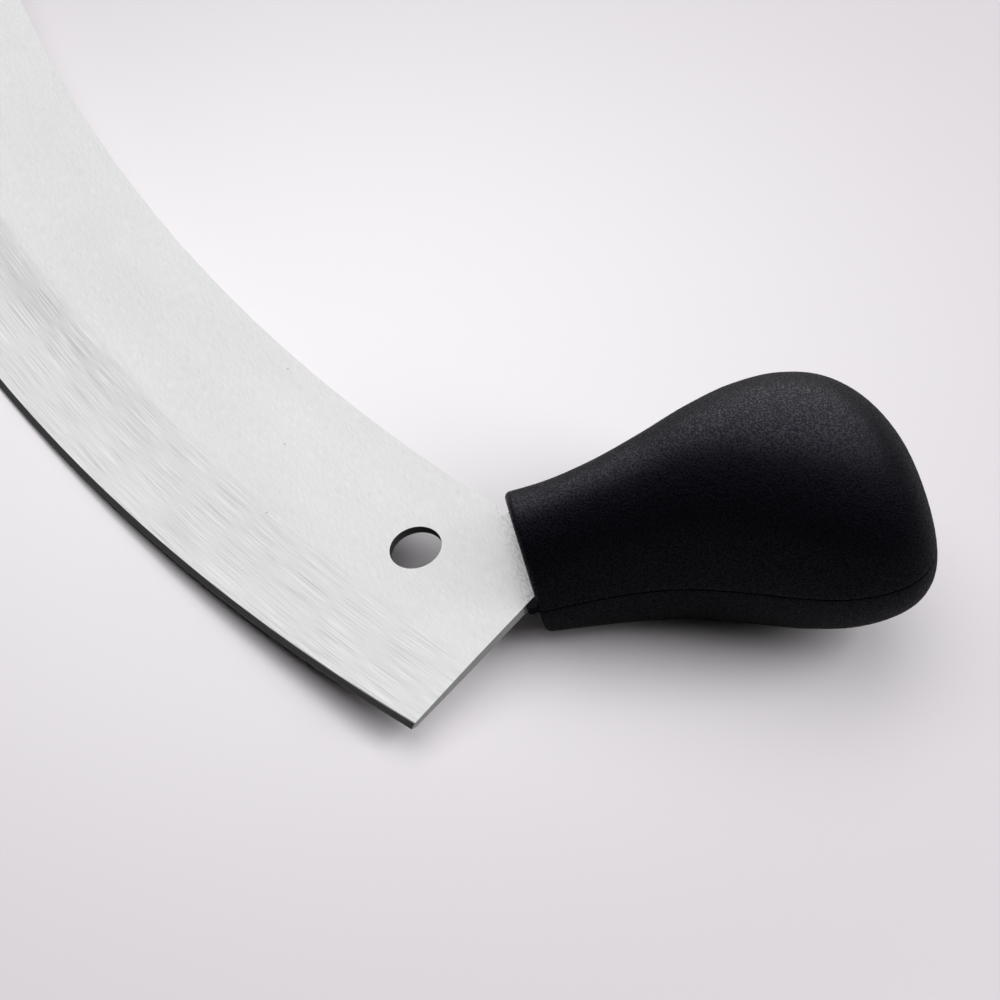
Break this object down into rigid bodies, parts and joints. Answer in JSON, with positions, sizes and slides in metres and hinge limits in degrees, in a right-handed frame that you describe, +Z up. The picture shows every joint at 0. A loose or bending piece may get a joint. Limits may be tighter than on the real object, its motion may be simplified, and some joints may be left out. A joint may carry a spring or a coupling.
{
  "type": "mincing knife",
  "caption": "Rocking mincing knife: a crescent steel blade, ground along its curved cutting edge and pierced near its end for hanging, held in bulb-shaped black plastic handles.",
  "frame": {"origin": "on the table, under the middle of the knife's box, with the knife lying at rest on its handles' bulbs and the middle of its cutting edge", "axes": "+X along the knife towards the handle beside the hang hole, +Y from the cutting edge towards the handles, +Z up from the table"},
  "size_m": [0.3564, 0.1258, 0.0491],
  "materials": {
    "blade": "ground, satin",
    "handle": "fine spark-eroded texture",
    "core": "smooth, matt"
  },
  "bodies": {
    "root": {"blade": "blade", "right_core": "core", "right_upper_shell": "handle", "right_lower_shell": "handle", "left_core": "core", "left_upper_shell": "handle", "left_lower_shell": "handle"}
  },
  "joints": []
}
